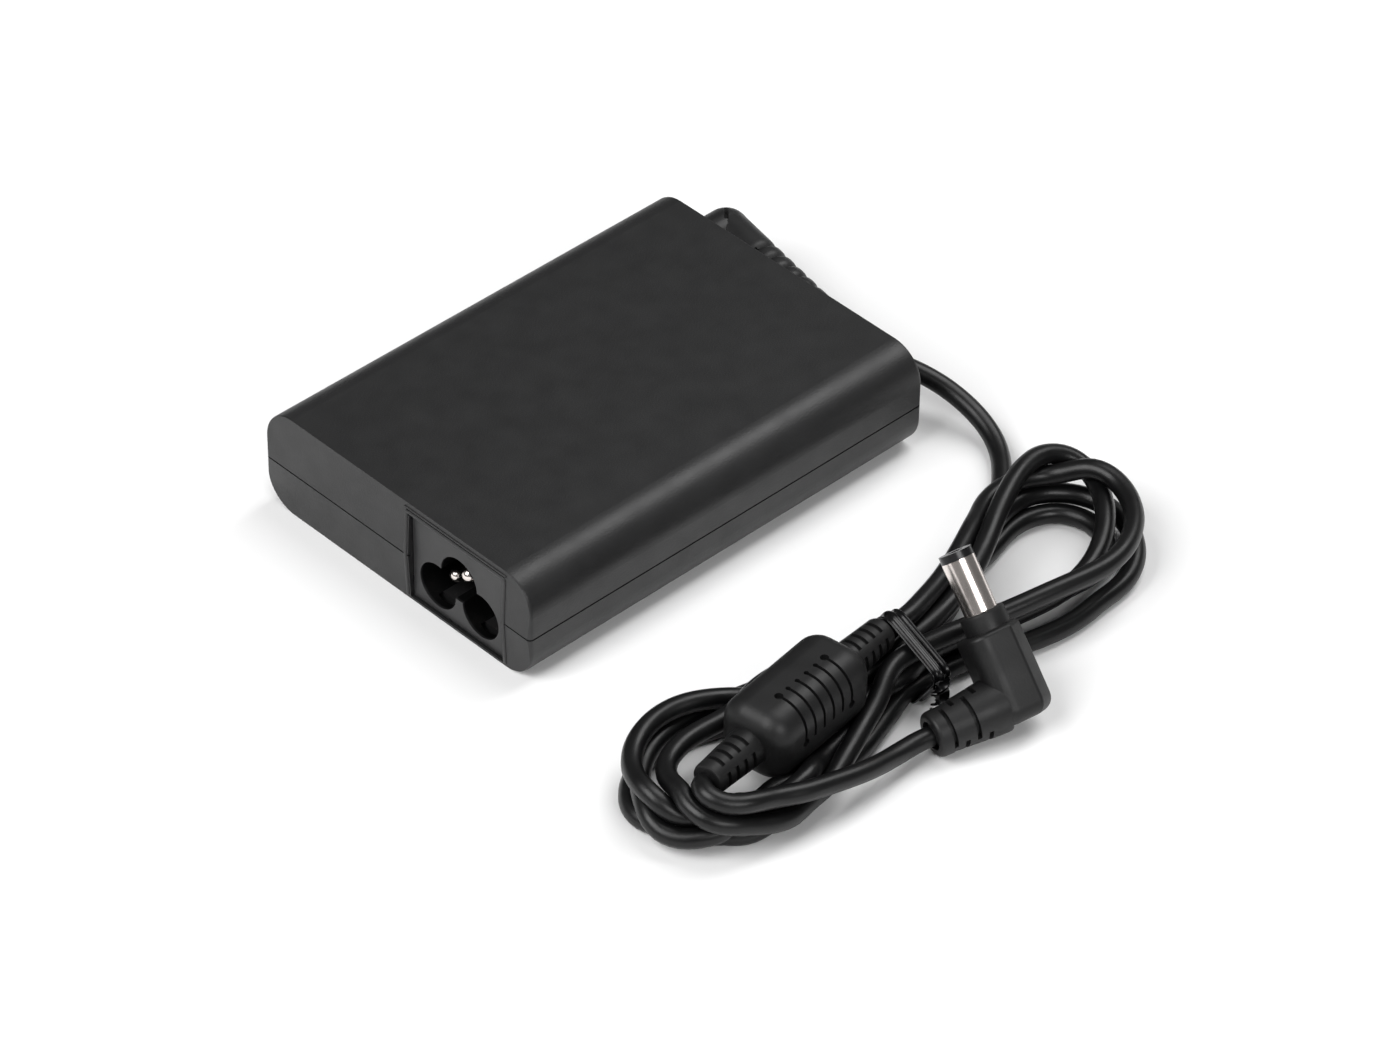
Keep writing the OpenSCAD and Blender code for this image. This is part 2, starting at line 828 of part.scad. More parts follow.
module choke_ferrite() {
  color(ferrite_grey) at_choke() translate([-ferrite_l / 2, 0, 0])
    rotate([0, 90, 0]) difference() {
      cylinder(h = ferrite_l, d = ferrite_d);
      translate([0, 0, -1]) cylinder(h = ferrite_l + 2, d = ferrite_bore);
    }
}

// ---------- plug ----------

// Places its children in the plug's own frame
module at_plug() {
  translate(plug_at) rotate(plug_turn) children();
}

// Block of the plug: bevelled back, round underside
module plug_block() {
  x = plug_len / 2;
  y = plug_wide / 2;
  intersection() {
    translate([0, 0, -plug_down]) linear_extrude(plug_down + plug_up)
      polygon([[-x, -y], [x - plug_bevel, -y], [x, -y + plug_bevel],
               [x, y - plug_bevel], [x - plug_bevel, y], [-x, y]]);
    along_x(-x, plug_len) {
      translate([0, plug_up / 2]) square([plug_wide, plug_up], center = true);
      translate([0, (plug_round - plug_down) / 2])
        square([plug_wide, plug_down - plug_round + eps], center = true);
      translate([0, -plug_down + plug_round])
        square([plug_wide - 2 * plug_round, 2 * plug_round], center = true);
      for (s = [-1, 1]) translate([s * (y - plug_round), -plug_down + plug_round])
        circle(plug_round);
    }
    rotate([90, 0, 0]) translate([0, 0, -y]) linear_extrude(plug_wide)
      polygon([[-x, -plug_down], [x - plug_bevel, -plug_down],
               [x, -plug_down + plug_bevel], [x, plug_up], [-x, plug_up]]);
  }
}

module plug_body() {
  color(rubber_black) at_plug() {
    plug_block();
    translate([0, 0, plug_up - eps]) cylinder(h = neck_l + eps, d = neck_d);
    translate([-plug_len / 2 + eps, 0, 0]) rotate([0, 0, 180])
      slotted_cone(0, plug_relief_r, plug_relief_l, plug_collar_r,
                   plug_slots, plug_slot_t, plug_slot_depth);
  }
}

// Ring along the plug's Z axis
module sleeve(z, h, r_out, r_in) {
  translate([0, 0, z]) difference() {
    cylinder(h = h, r = r_out);
    translate([0, 0, -1]) cylinder(h = h + 2, r = r_in);
  }
}

module plug_barrel() {
  r = barrel_d / 2;
  color(nickel) at_plug() sleeve(barrel_z, barrel_l, r, r - barrel_wall);
}

module plug_tip_ring() {
  r = barrel_d / 2;
  bore = barrel_bore / 2;
  color(deep_black) at_plug() {
    sleeve(barrel_z + barrel_l, tip_l, r, bore);
    sleeve(barrel_z, barrel_l + eps, r - barrel_wall, bore + contact_wall);
  }
}

module plug_centre_contact() {
  bore = barrel_bore / 2;
  color(nickel) at_plug() {
    sleeve(barrel_z, barrel_l, bore + contact_wall, bore);
    translate([0, 0, barrel_z]) cylinder(h = contact_base, r = bore + eps);
  }
}

upper_shell();
lower_shell();
rating_label();
inlet_housing();
inlet_line_pins();
inlet_earth_pin();
main_board();
lower_insulating_sheet();
lower_heat_spreader();
upper_insulating_sheet();
upper_heat_spreader();
fuse();
thermistor();
filter_choke_core();
filter_choke_windings();
film_capacitor();
bridge_rectifier();
bulk_capacitors();
primary_heat_sink();
switching_transistor();
transformer_core();
transformer_winding();
ceramic_capacitors();
optocoupler();
control_chips();
secondary_heat_sink();
output_rectifier();
output_inductor();
output_capacitors();
output_wires();
cord_strain_relief();
output_cord_lead();
output_cord_hank();
choke_shell();
choke_ferrite();
output_cord_tail();
plug_body();
plug_barrel();
plug_tip_ring();
plug_centre_contact();
hank_tie();
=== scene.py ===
import json
import math

import bmesh
import bpy
import numpy as np
from mathutils import Matrix, Vector


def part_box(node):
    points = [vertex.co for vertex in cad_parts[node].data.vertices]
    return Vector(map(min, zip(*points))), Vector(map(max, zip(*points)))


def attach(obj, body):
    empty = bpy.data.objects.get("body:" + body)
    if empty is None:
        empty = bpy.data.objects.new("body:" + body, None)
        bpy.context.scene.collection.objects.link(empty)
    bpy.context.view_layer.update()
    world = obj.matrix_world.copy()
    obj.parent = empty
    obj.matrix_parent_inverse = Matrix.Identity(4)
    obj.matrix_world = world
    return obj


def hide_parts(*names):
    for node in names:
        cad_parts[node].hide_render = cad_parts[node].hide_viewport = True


# The looks of a slim laptop power adapter. Shapes are worked out in
# millimetres in the part's own frame and turned into metres as they are made.

MM = 0.001
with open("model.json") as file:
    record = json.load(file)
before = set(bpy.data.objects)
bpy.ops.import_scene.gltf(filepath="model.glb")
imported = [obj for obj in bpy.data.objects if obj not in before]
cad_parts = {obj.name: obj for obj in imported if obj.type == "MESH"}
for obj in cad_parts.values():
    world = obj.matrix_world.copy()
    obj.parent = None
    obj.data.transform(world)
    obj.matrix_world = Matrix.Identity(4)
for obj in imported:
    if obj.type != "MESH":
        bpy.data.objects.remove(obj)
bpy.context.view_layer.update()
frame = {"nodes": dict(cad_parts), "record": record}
nodes = frame["nodes"]


# ---------- camera ----------

TO_CAMERA = np.array((-0.536, -0.548, 0.642))


def turned(axis, degrees):
    """3 x 3 rotation about an axis, as numpy."""
    return np.array(Matrix.Rotation(math.radians(degrees), 3, axis))


def make_camera():
    """The photo's viewpoint: a long lens about a metre away, slightly rolled."""
    azimuth, elevation, roll = (math.radians(a) for a in (-44.39, 39.95, 0.94))
    aim, distance = Vector((3.4, -21.1, 0)) * MM, 0.9989
    back = Vector((math.sin(azimuth) * math.cos(elevation),
                   -math.cos(azimuth) * math.cos(elevation),
                   math.sin(elevation)))
    right = Vector((math.cos(azimuth), math.sin(azimuth), 0))
    up = back.cross(right)
    right, up = (right * math.cos(roll) + up * math.sin(roll),
                 up * math.cos(roll) - right * math.sin(roll))
    data = bpy.data.cameras.new("camera")
    data.sensor_width = 36
    data.lens = 158.6
    data.clip_start, data.clip_end = 0.05, 20
    camera = bpy.data.objects.new("camera", data)
    bpy.context.scene.collection.objects.link(camera)
    camera.matrix_world = Matrix.Translation(aim + back * distance) @ Matrix(
        (right, up, back)).transposed().to_4x4()
    bpy.context.scene.camera = camera


make_camera()


# ---------- the cord's way, in millimetres ----------

CORD = 3.4
R = CORD / 2
STEP = 1.0

# The tied waist of the hank: its middle, the room for the strands across and
# up from there, the middle of the tie's slack loop in front of them, and how
# far along the strands the tie holds them, each way.
WAIST = np.array((-0.9, -74.0, 0.0))
WAIST_TURN = turned("Z", -5.5)
TIE_NEAR, TIE_FAR, TIE_LOW, TIE_TOP = -2.1, 10.6, 0.1, 12.6
TIE_SLACK = (-5.5, 8.4)
TIE_HOLDS = 3
# The choke's body and the reliefs at its ends: from and to along it, and radius.
CHOKE = np.array((-24.8, -71.6, 10.8))
CHOKE_TURN = turned("Z", 8)
CHOKE_HALF, CHOKE_ROUND, CHOKE_END = np.array((12.0, 6.5, 6.5)), 4.7, 22.2
CHOKE_RELIEF_FROM, CHOKE_RELIEF_TO, CHOKE_RELIEF_R = 11, 21, 3.3
# The plug's block, its middle above the cord's axis, and its relief.
PLUG = np.array((6.4, -89.3, 5.7))
PLUG_TURN = turned("Z", -14.3) @ turned("Y", -7) @ turned("X", -43)
PLUG_HALF, PLUG_ROUND, PLUG_MIDDLE = np.array((5.2, 4.7, 7.55)), 1.5, (0, 0, 3.65)
PLUG_RELIEF_FROM, PLUG_RELIEF_TO, PLUG_RELIEF_R = 5, 15.3, 3.7

# from the case's strain relief down to the floor and into the hank
LEAD = [(47.6, -5, 10.2), (47, -10, 10), (47.3, -15, 9.7), (48.5, -19.5, 9.1),
        (50.5, -24, 8.2), (52.4, -28.6, 6.4), (53.1, -33, 4.8), (52.8, -37.5, 3.4),
        (51.5, -41.3, 2.4), (48.9, -44.8, 1.9), (45.5, -48.1, 1.8),
        (41.6, -51.2, 1.8), (38, -53.7, 1.8), (35, -55.5, 1.8)]
LEAD_ON = [(28, -58.5, 1.7), (20, -62, 1.7), (10, -66.3, 2)]
# out of the choke, round and under the hank's front to the plug
TAIL = [(-47, -74.7, 10.8), (-49.3, -75.4, 10.5), (-50.2, -77.4, 10.1),
        (-48.6, -79.3, 9.8), (-45.2, -80.7, 9.5), (-40.6, -82.4, 8.9),
        (-34.3, -84.3, 8.1), (-27.3, -85.5, 6.9), (-21.5, -85.5, 5.5),
        (-17, -85, 4.4), (-13, -84.6, 3.6), (-8.8, -85.4, 3.8)]

# The hank's end loops, lowest turn first: centre, half sizes, tilt in degrees,
# heights going in, at the end and coming out, and the places at the waist
# (across, up) where the strands of the loop pass the tie. A loop's legs run
# straight to the waist unless "into" or "out" gives points on the way.
NEAR = [
    dict(c=(-38.5, -69), r=(15, 11.4), tilt=-4, z=(1.7, 1.7, 1.7), a=(7.2, 1.8), b=(3.4, 1.8)),
    dict(c=(-42, -68.4), r=(12.0, 9.4), tilt=40, z=(5, 5, 3.4), a=(8.9, 4.8), b=(-0.3, 2.6),
         out=[(-21.6, -79.2, 2.1), (-12.1, -76.8, 2.2), (-5.3, -75.2, 2.5)]),
    dict(c=(-39.5, -69), r=(13.6, 11.8), tilt=2, z=(7.9, 7.9, 5.8), a=(5.4, 4.7), b=(2.0, 5.4)),
    dict(c=(-37.5, -74), r=(13.2, 10), tilt=-16, z=(8.4, 8.7, 5.2), a=(4.3, 8.0), b=(1.0, 8.6),
         out=[(-30.5, -81, 4.2), (-23.3, -78.4, 4.4), (-15.6, -76.2, 5), (-8.4, -74.2, 6.6)]),
]
FAR = [
    dict(c=(38.9, -65.4), r=(9.6, 8.9), tilt=6, z=(1.7, 1.7, 1.7)),
    dict(c=(39.8, -67.6), r=(13, 11.5), tilt=33, z=(1.7, 3.4, 5),
         into=[(11, -76, 2.6), (20, -78.8, 1.7), (29.5, -80.3, 1.7)]),
    dict(c=(40, -65.4), r=(14, 7.8), tilt=36, z=(5, 8.2, 11.6),
         out=[(32.4, -59.8, 11), (25.7, -63.4, 9.8), (17.5, -66.8, 8.2), (9, -69, 8)]),
    dict(c=(37.4, -67.7), r=(15.5, 12.2), tilt=28, z=(10.4, 9.6, 6.6),
         into=[(9, -74.7, 8.8), (16.1, -76.9, 9.4), (23, -78.8, 10.2)],
         out=[(28.6, -58.2, 8.8), (22.7, -61.1, 9.4), (16.9, -63.8, 9.8), (12.6, -65.4, 10),
              (8.3, -66.9, 10.3), (4.9, -67.9, 10.7)]),
]
# where the last strand, on its way to the choke, passes the tie
LAST_STRAND = (5.7, 10.9)


def at_waist(across, up, along=0.0):
    """A place at the hank's waist, in the part's frame."""
    return WAIST + WAIST_TURN @ np.array((along, across, up))


def eased(p0, t0, p1, t1, count=12):
    """Points of a smooth run from p0 heading t0 to p1 heading t1."""
    run = []
    for k in range(count):
        u = k / count
        run.append((2 * u**3 - 3 * u**2 + 1) * p0 + (u**3 - 2 * u**2 + u) * t0
                   + (3 * u**2 - 2 * u**3) * p1 + (u**3 - u**2) * t1)
    return run


def around(loop, start, end, count=16):
    """Points round an end loop, from one heading to another in degrees."""
    tilt = math.radians(loop["tilt"])
    low, mid, high = loop["z"]
    points = []
    for k in range(count + 1):
        u = k / count
        w = math.radians(start + (end - start) * u) - tilt
        x, y = loop["r"][0] * math.cos(w), loop["r"][1] * math.sin(w)
        z = low + (mid - low) * 2 * u if u < 0.5 else mid + (high - mid) * (2 * u - 1)
        points.append(np.array((loop["c"][0] + math.cos(tilt) * x - math.sin(tilt) * y,
                                loop["c"][1] + math.sin(tilt) * x + math.cos(tilt) * y, z)))
    return points


def end_loop(loop, p_in, p_out, side):
    """From the waist round an end loop and back. side is 1 at the far end, -1 near."""
    points = around(loop, *((-105, 105) if side > 0 else (105, 255)))
    ahead = np.array((side, 0.0, 0.0))
    way_in, way_out = np.linalg.norm(points[0] - p_in), np.linalg.norm(points[-1] - p_out)
    first, last = points[1] - points[0], points[-1] - points[-2]
    first, last = first / np.linalg.norm(first), last / np.linalg.norm(last)
    # the legs lean towards their loop as they leave the tie
    lean_in = 0.5 * ahead * way_in + 0.5 * (points[0] - p_in)
    lean_out = -0.5 * ahead * way_out + 0.5 * (p_out - points[-1])
    into = ([p_in] + [np.array(p, float) for p in loop["into"]] if "into" in loop
            else eased(p_in, lean_in, points[0], first * way_in * 0.7))
    out = ([points[-1]] + [np.array(p, float) for p in loop["out"]] if "out" in loop
           else eased(points[-1], last * way_out * 0.7, p_out, lean_out))
    return into + points[:-1] + out


def evenly(line, step=STEP):
    """The same line with its points about one step apart."""
    along = np.concatenate(([0], np.cumsum(np.linalg.norm(np.diff(line, axis=0), axis=1))))
    marks = np.linspace(0, along[-1], max(2, round(along[-1] / step) + 1))
    return np.stack([np.interp(marks, along, line[:, k]) for k in range(3)], 1)


def smooth_line(points):
    """An evenly stepped smooth line through the points."""
    p = np.array(points, float)
    p = np.vstack((2 * p[0] - p[1], p, 2 * p[-1] - p[-2]))
    dense = []
    for a, b, c, d in zip(p, p[1:], p[2:], p[3:]):
        for u in np.linspace(0, 1, 12, endpoint=False):
            dense.append(0.5 * (2 * b + (c - a) * u + (2 * a - 5 * b + 4 * c - d) * u**2
                                + (3 * b - a - 3 * c + d) * u**3))
    return evenly(np.array(dense + [p[-2]]))


def route():
    """The cord's centre line as drawn, and where the choke's stretch starts and ends."""
    ahead = CHOKE_TURN[:, 0]
    points = [np.array(p, float) for p in LEAD + LEAD_ON]
    for k, near in enumerate(NEAR):
        after = NEAR[k + 1]["a"] if k + 1 < len(NEAR) else LAST_STRAND
        before_tie, past_tie = at_waist(*near["b"], -TIE_HOLDS), at_waist(*near["b"], TIE_HOLDS)
        points += end_loop(near, at_waist(*near["a"], -TIE_HOLDS), before_tie, -1)
        points += [before_tie]
        points += end_loop(FAR[k], past_tie, at_waist(*after, TIE_HOLDS), 1)
        points += [at_waist(*after, TIE_HOLDS)]
    points.append(CHOKE + ahead * (CHOKE_END + 0.6))
    first = smooth_line(points)
    high, low = CHOKE + ahead * CHOKE_END, CHOKE - ahead * CHOKE_END
    inside = evenly(np.array((high, low)))[1:-1]
    last = smooth_line([low, low - ahead * 1.5] + [np.array(p, float) for p in TAIL[1:]])
    return np.vstack((first, inside, last)), len(first), len(first) + len(inside)


def off_box(p, half, rad, gap):
    """How far points in a rounded box's own frame must move to stand gap off it."""
    q = np.abs(p) - (half - rad)
    out = np.maximum(q, 0)
    away = np.linalg.norm(out, axis=1)
    need = np.maximum(gap + rad - np.where(away > 1e-9, away, q.max(1)), 0)
    way = np.where(away[:, None] > 1e-9, out / np.maximum(away, 1e-9)[:, None],
                   np.eye(3)[q.argmax(1)])
    return way * np.where(p >= 0, 1.0, -1.0) * need[:, None]


def off_bar(p, a, b, rad, gap):
    """The same for a round bar from a to b."""
    bar = b - a
    t = np.clip((p - a) @ bar / (bar @ bar), 0, 1)
    away = p - (a + t[:, None] * bar)
    far = np.maximum(np.linalg.norm(away, axis=1), 1e-9)[:, None]
    return away / far * np.maximum(gap + rad - far, 0)


def settle(line, n_in, n_out, rounds):
    """Lets the drawn line lie down as a springy cord: it keeps its length, bends
    smoothly, rests on the floor and on itself, and clears the hard pieces.
    Points n_in to n_out are inside the choke and stay where they are."""
    weight, hold, hold_lost, stiffness, stretch, crowding = 0.004, 0.046, 0.04, 0.1, 0.25, 1.3
    # steps along the cord from a point, or from where it enters a hard piece,
    # within which touching isn't looked for
    reach = 8
    x, count = line.copy(), len(line)
    index = np.arange(count)
    free = np.ones(count, bool)
    free[:3] = free[n_in - 2:n_out + 2] = free[-3:] = False
    rest = np.linalg.norm(np.diff(x, axis=0), axis=1)
    ahead = CHOKE_TURN[:, 0]
    off_choke = free & ((index <= n_in - reach) | (index >= n_out + reach))
    off_plug = free & (index <= count - reach)
    for step in range(rounds):
        late = step / rounds
        gap = min(1.0, 0.5 + late)
        x[free, 2] -= weight
        x[free] += (hold - hold_lost * late) * (line[free] - x[free])
        for _ in range(3):
            bend = np.zeros_like(x)
            bend[1:-1] = x[:-2] - 2 * x[1:-1] + x[2:]
            stiff = np.zeros_like(x)
            stiff[1:-1] = bend[:-2] - 2 * bend[1:-1] + bend[2:]
            x[free] -= stiffness * stiff[free]
        for _ in range(2):
            link = np.diff(x, axis=0)
            long = np.linalg.norm(link, axis=1)
            pull = link / long[:, None] * ((long - rest) * stretch)[:, None]
            move = np.zeros_like(x)
            move[:-1] += pull
            move[1:] -= pull
            x[free] += move[free]
        if step % 4 == 0:
            square = (x**2).sum(1)
            apart = square[:, None] + square - 2 * x @ x.T
            i, j = np.nonzero(np.triu(apart < (CORD * 1.6)**2, reach))
        for _ in range(2):
            across = x[i] - x[j]
            far = np.linalg.norm(across, axis=1)
            near = far < CORD * gap
            ii, jj = i[near], j[near]
            push = across[near] / np.maximum(far[near], 1e-6)[:, None]
            push = push * ((CORD * gap - far[near]) * 0.5)[:, None]
            move, shared = np.zeros_like(x), np.zeros(count)
            np.add.at(move, ii, push * np.where(free[jj], 1, 2)[:, None])
            np.add.at(move, jj, -push * np.where(free[ii], 1, 2)[:, None])
            np.add.at(shared, ii, 1)
            np.add.at(shared, jj, 1)
            x[free] += crowding * move[free] / np.maximum(shared[free], 1)[:, None]
        p = x[off_choke]
        p += off_box((p - CHOKE) @ CHOKE_TURN, CHOKE_HALF, CHOKE_ROUND, R * gap) @ CHOKE_TURN.T
        for side in (1, -1):
            p += off_bar(p, CHOKE + side * CHOKE_RELIEF_FROM * ahead,
                         CHOKE + side * CHOKE_RELIEF_TO * ahead, CHOKE_RELIEF_R, R * gap)
        x[off_choke] = p
        p = x[off_plug]
        p += off_bar(p, PLUG - PLUG_RELIEF_FROM * PLUG_TURN[:, 0],
                     PLUG - PLUG_RELIEF_TO * PLUG_TURN[:, 0], PLUG_RELIEF_R, R * gap)
        own = (p - PLUG) @ PLUG_TURN - PLUG_MIDDLE
        p += off_box(own, PLUG_HALF, PLUG_ROUND, R * gap) @ PLUG_TURN.T
        x[off_plug] = p
        own = (x - WAIST) @ WAIST_TURN
        held = free & (np.abs(own[:, 0]) < TIE_HOLDS)
        own[held, 1] = np.clip(own[held, 1], TIE_NEAR + R, TIE_FAR - R)
        own[held, 2] = np.clip(own[held, 2], TIE_LOW + R, TIE_TOP - R)
        x[held] = WAIST + own[held] @ WAIST_TURN.T
        x[free, 2] = np.maximum(x[free, 2], R + 0.02)
    return x


drawn_line, choke_in, choke_out = route()
cord_line = settle(drawn_line, choke_in, choke_out, rounds=420)


def tube(name, line, radius):
    """A round curve along a line of points in millimetres. The points carry the
    radius, since Blender adds it to the curve's bounds."""
    data = bpy.data.curves.new(name, "CURVE")
    data.dimensions = "3D"
    data.bevel_depth = 1.0
    data.bevel_resolution = 5
    data.use_fill_caps = True
    spline = data.splines.new("POLY")
    spline.points.add(len(line) - 1)  # a new spline has one point
    for point, place in zip(spline.points, line):
        point.co = (*(float(v) * MM for v in place), 1)
        point.radius = radius * MM
    made = bpy.data.objects.new(name, data)
    bpy.context.scene.collection.objects.link(made)
    return made


output_cord = tube("output_cord", cord_line, R)
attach(output_cord, "root")
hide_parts("output_cord_lead", "output_cord_hank", "output_cord_tail")


# ---------- materials ----------

def material(name, colour, rough, metal=0.0, mottle=0.12, mottle_size=12,
             grain=0.1, grain_size=0.35, smear=0.06, specular=0.5, deep=None):
    """A procedural surface: colour mottled over mottle_size mm, roughness
    smeared over a few mm, and grain raised over grain_size mm. Painted shade:
    colour and shine are painted darker between the X places in deep, where little light reaches."""
    mat = bpy.data.materials.new(name)
    mat.use_nodes = True
    tree = mat.node_tree
    shader = tree.nodes["Principled BSDF"]
    shader.inputs["Metallic"].default_value = metal
    shader.inputs["Specular IOR Level"].default_value = specular
    place = tree.nodes.new("ShaderNodeTexCoord")

    def noise(size, detail):
        made = tree.nodes.new("ShaderNodeTexNoise")
        made.inputs["Scale"].default_value = 1 / (size * MM)
        made.inputs["Detail"].default_value = detail
        tree.links.new(place.outputs["Object"], made.inputs["Vector"])
        return made.outputs["Fac"]

    def spread(value, low, high, start=0.3, end=0.7):
        made = tree.nodes.new("ShaderNodeMapRange")
        made.inputs["From Min"].default_value = start
        made.inputs["From Max"].default_value = end
        made.inputs["To Min"].default_value = low
        made.inputs["To Max"].default_value = high
        tree.links.new(value, made.inputs["Value"])
        return made.outputs["Result"]

    mix = tree.nodes.new("ShaderNodeMix")
    mix.data_type = "RGBA"
    mix.inputs["A"].default_value = (*(c * (1 - mottle) for c in colour), 1)
    mix.inputs["B"].default_value = (*(min(1, c * (1 + mottle)) for c in colour), 1)
    tree.links.new(spread(noise(mottle_size, 4), 0, 1), mix.inputs["Factor"])
    tree.links.new(mix.outputs["Result"], shader.inputs["Base Color"])
    # painted shade: towards the inside of the recess the colour is multiplied down to 0.12 and
    # the shine cut to a quarter
    if deep:
        apart = tree.nodes.new("ShaderNodeSeparateXYZ")
        tree.links.new(place.outputs["Object"], apart.inputs["Vector"])
        start, end = (x * MM for x in deep)
        painted_shade = tree.nodes.new("ShaderNodeMix")
        painted_shade.data_type, painted_shade.blend_type = "RGBA", "MULTIPLY"
        painted_shade.inputs["Factor"].default_value = 1
        tree.links.new(mix.outputs["Result"], painted_shade.inputs["A"])
        tree.links.new(spread(apart.outputs["X"], 1, 0.12, start, end), painted_shade.inputs["B"])
        tree.links.new(painted_shade.outputs["Result"], shader.inputs["Base Color"])
        tree.links.new(spread(apart.outputs["X"], specular, specular * 0.25, start, end),
                       shader.inputs["Specular IOR Level"])
    tree.links.new(spread(noise(mottle_size / 2.5, 5), rough - smear, rough + smear),
                   shader.inputs["Roughness"])
    bump = tree.nodes.new("ShaderNodeBump")
    bump.inputs["Strength"].default_value = grain
    bump.inputs["Distance"].default_value = grain_size * MM / 3
    tree.links.new(noise(grain_size, 3), bump.inputs["Height"])
    tree.links.new(bump.outputs["Normal"], shader.inputs["Normal"])
    return mat


SURFACES = {
    "case_plastic": material("case_plastic", (0.0082, 0.0082, 0.0085), 0.45, mottle=0.06,
                             grain=0.35, grain_size=0.28, smear=0.04),
    "label_film": material("label_film", (0.42, 0.42, 0.43), 0.38, mottle=0.03,
                           mottle_size=20, grain=0.05, smear=0.03),
    # the inlet's plastic carries painted shade deep in the case's window, given by deep
    "inlet_plastic": material("inlet_plastic", (0.015, 0.015, 0.0155), 0.42, grain=0.12,
                              deep=(-42.35, -41.9)),
    "nickel_plate": material("nickel_plate", (0.88, 0.81, 0.77), 0.2, metal=1,
                             mottle=0.04, grain=0.02, smear=0.03),
    "circuit_board": material("circuit_board", (0.02, 0.13, 0.05), 0.35, mottle=0.2,
                              mottle_size=3, grain=0.2),
    "insulating_sheet": material("insulating_sheet", (0.72, 0.71, 0.64), 0.45,
                                 mottle=0.05, grain=0.1),
    "aluminium_plate": material("aluminium_plate", (0.70, 0.71, 0.73), 0.36, metal=1,
                                mottle=0.06, grain=0.15),
    "fuse_ceramic": material("fuse_ceramic", (0.74, 0.71, 0.65), 0.22, mottle=0.04),
    "thermistor_coat": material("thermistor_coat", (0.04, 0.10, 0.06), 0.55,
                                grain=0.25, grain_size=0.5),
    "ferrite": material("ferrite", (0.045, 0.045, 0.05), 0.6, mottle=0.25,
                        mottle_size=2, grain=0.4, grain_size=0.3),
    "copper_wire": material("copper_wire", (0.66, 0.30, 0.12), 0.28, metal=1,
                            mottle=0.15, mottle_size=2, grain=0.3, grain_size=0.5),
    "capacitor_box": material("capacitor_box", (0.72, 0.50, 0.04), 0.33, mottle=0.05),
    "package_black": material("package_black", (0.018, 0.018, 0.02), 0.5, grain=0.2),
    "capacitor_sleeve": material("capacitor_sleeve", (0.02, 0.035, 0.12), 0.25,
                                 mottle=0.08),
    "winding_tape": material("winding_tape", (0.74, 0.50, 0.05), 0.3, mottle=0.1,
                             mottle_size=4),
    "disc_coat": material("disc_coat", (0.03, 0.11, 0.34), 0.4, grain=0.25,
                          grain_size=0.5),
    "package_white": material("package_white", (0.74, 0.74, 0.71), 0.45, mottle=0.03),
    "wire_insulation": material("wire_insulation", (0.40, 0.015, 0.015), 0.35,
                                mottle=0.05),
    "relief_rubber": material("relief_rubber", (0.0085, 0.0085, 0.0088), 0.46, grain=0.12,
                              specular=0.42),
    "cord_jacket": material("cord_jacket", (0.003, 0.003, 0.0032), 0.36, mottle=0.1,
                            mottle_size=9, grain=0.10, grain_size=0.5, smear=0.05,
                            specular=0.35),
    "moulded_black": material("moulded_black", (0.0055, 0.0055, 0.0057), 0.48, mottle=0.08,
                              grain=0.14, grain_size=0.35, specular=0.36),
    "tip_plastic": material("tip_plastic", (0.004, 0.004, 0.0045), 0.3, mottle=0.08),
    "tie_plastic": material("tie_plastic", (0.002, 0.002, 0.0023), 0.24, mottle=0.1,
                            grain=0.08, smear=0.08, specular=0.32),
}
SLOT_OF = {s["node"]: s["material_slot"] for s in frame["record"]["subparts"]}


def paint(piece, slot):
    """Gives a piece the surface of its material slot, and nothing else."""
    piece.data.materials.clear()
    piece.data.materials.append(SURFACES[slot])
    return piece


for name, node in nodes.items():
    paint(node, SLOT_OF[name])


# ---------- shared making ----------

SHARP_FROM = 32  # degrees between faces that meet in a visible edge


def cad_end(z):
    """How far out the case's ends stand at height z; they slope out to the parting line."""
    half, draft, parting, top = 43.0, 0.5, 9.4, 19.8
    return half + draft * (z / parting if z < parting else (top - z) / (top - parting))


def closed_object(name, points, faces, scale=1.0):
    """An object of a closed shape, its faces turned outwards."""
    data = bpy.data.meshes.new(name)
    data.from_pydata([[float(v) * scale for v in p] for p in points], [], faces)
    work = bmesh.new()
    work.from_mesh(data)
    bmesh.ops.recalc_face_normals(work, faces=work.faces)
    work.to_mesh(data)
    work.free()
    made = bpy.data.objects.new(name, data)
    bpy.context.scene.collection.objects.link(made)
    return made


def mesh_piece(name, points, faces, slot):
    """One piece of the object from corners in millimetres and faces."""
    made = closed_object(name, points, faces, MM)
    for face in made.data.polygons:
        face.use_smooth = True
    paint(made, slot)
    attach(made, "root")
    return made


def sweep(line, across, outward, profile, closed=False):
    """Corners and faces of a profile of (across, outward) points swept along a line."""
    count, sides = len(line), len(profile)
    points = [line[k] + u * across[k] + v * outward[k]
              for k in range(count) for u, v in profile]
    faces = [(k * sides + s, k * sides + (s + 1) % sides,
              (k + 1) % count * sides + (s + 1) % sides, (k + 1) % count * sides + s)
             for k in range(count if closed else count - 1) for s in range(sides)]
    if not closed:
        faces += [tuple(range(sides))[::-1],
                  tuple((count - 1) * sides + s for s in range(sides))]
    return points, faces


def lofted(rings):
    """Corners and faces of a closed solid through rings with the same number of points."""
    sides = len(rings[0])
    points = [np.array(p, float) for ring in rings for p in ring]
    faces = [(k * sides + s, k * sides + (s + 1) % sides,
              (k + 1) * sides + (s + 1) % sides, (k + 1) * sides + s)
             for k in range(len(rings) - 1) for s in range(sides)]
    faces += [tuple(range(sides))[::-1],
              tuple((len(rings) - 1) * sides + s for s in range(sides))]
    return points, faces


def joined(shapes):
    """Several shapes as one, so that they are cut in one go."""
    points, faces = [], []
    for more_points, more_faces in shapes:
        faces += [tuple(k + len(points) for k in face) for face in more_faces]
        points += list(more_points)
    return points, faces


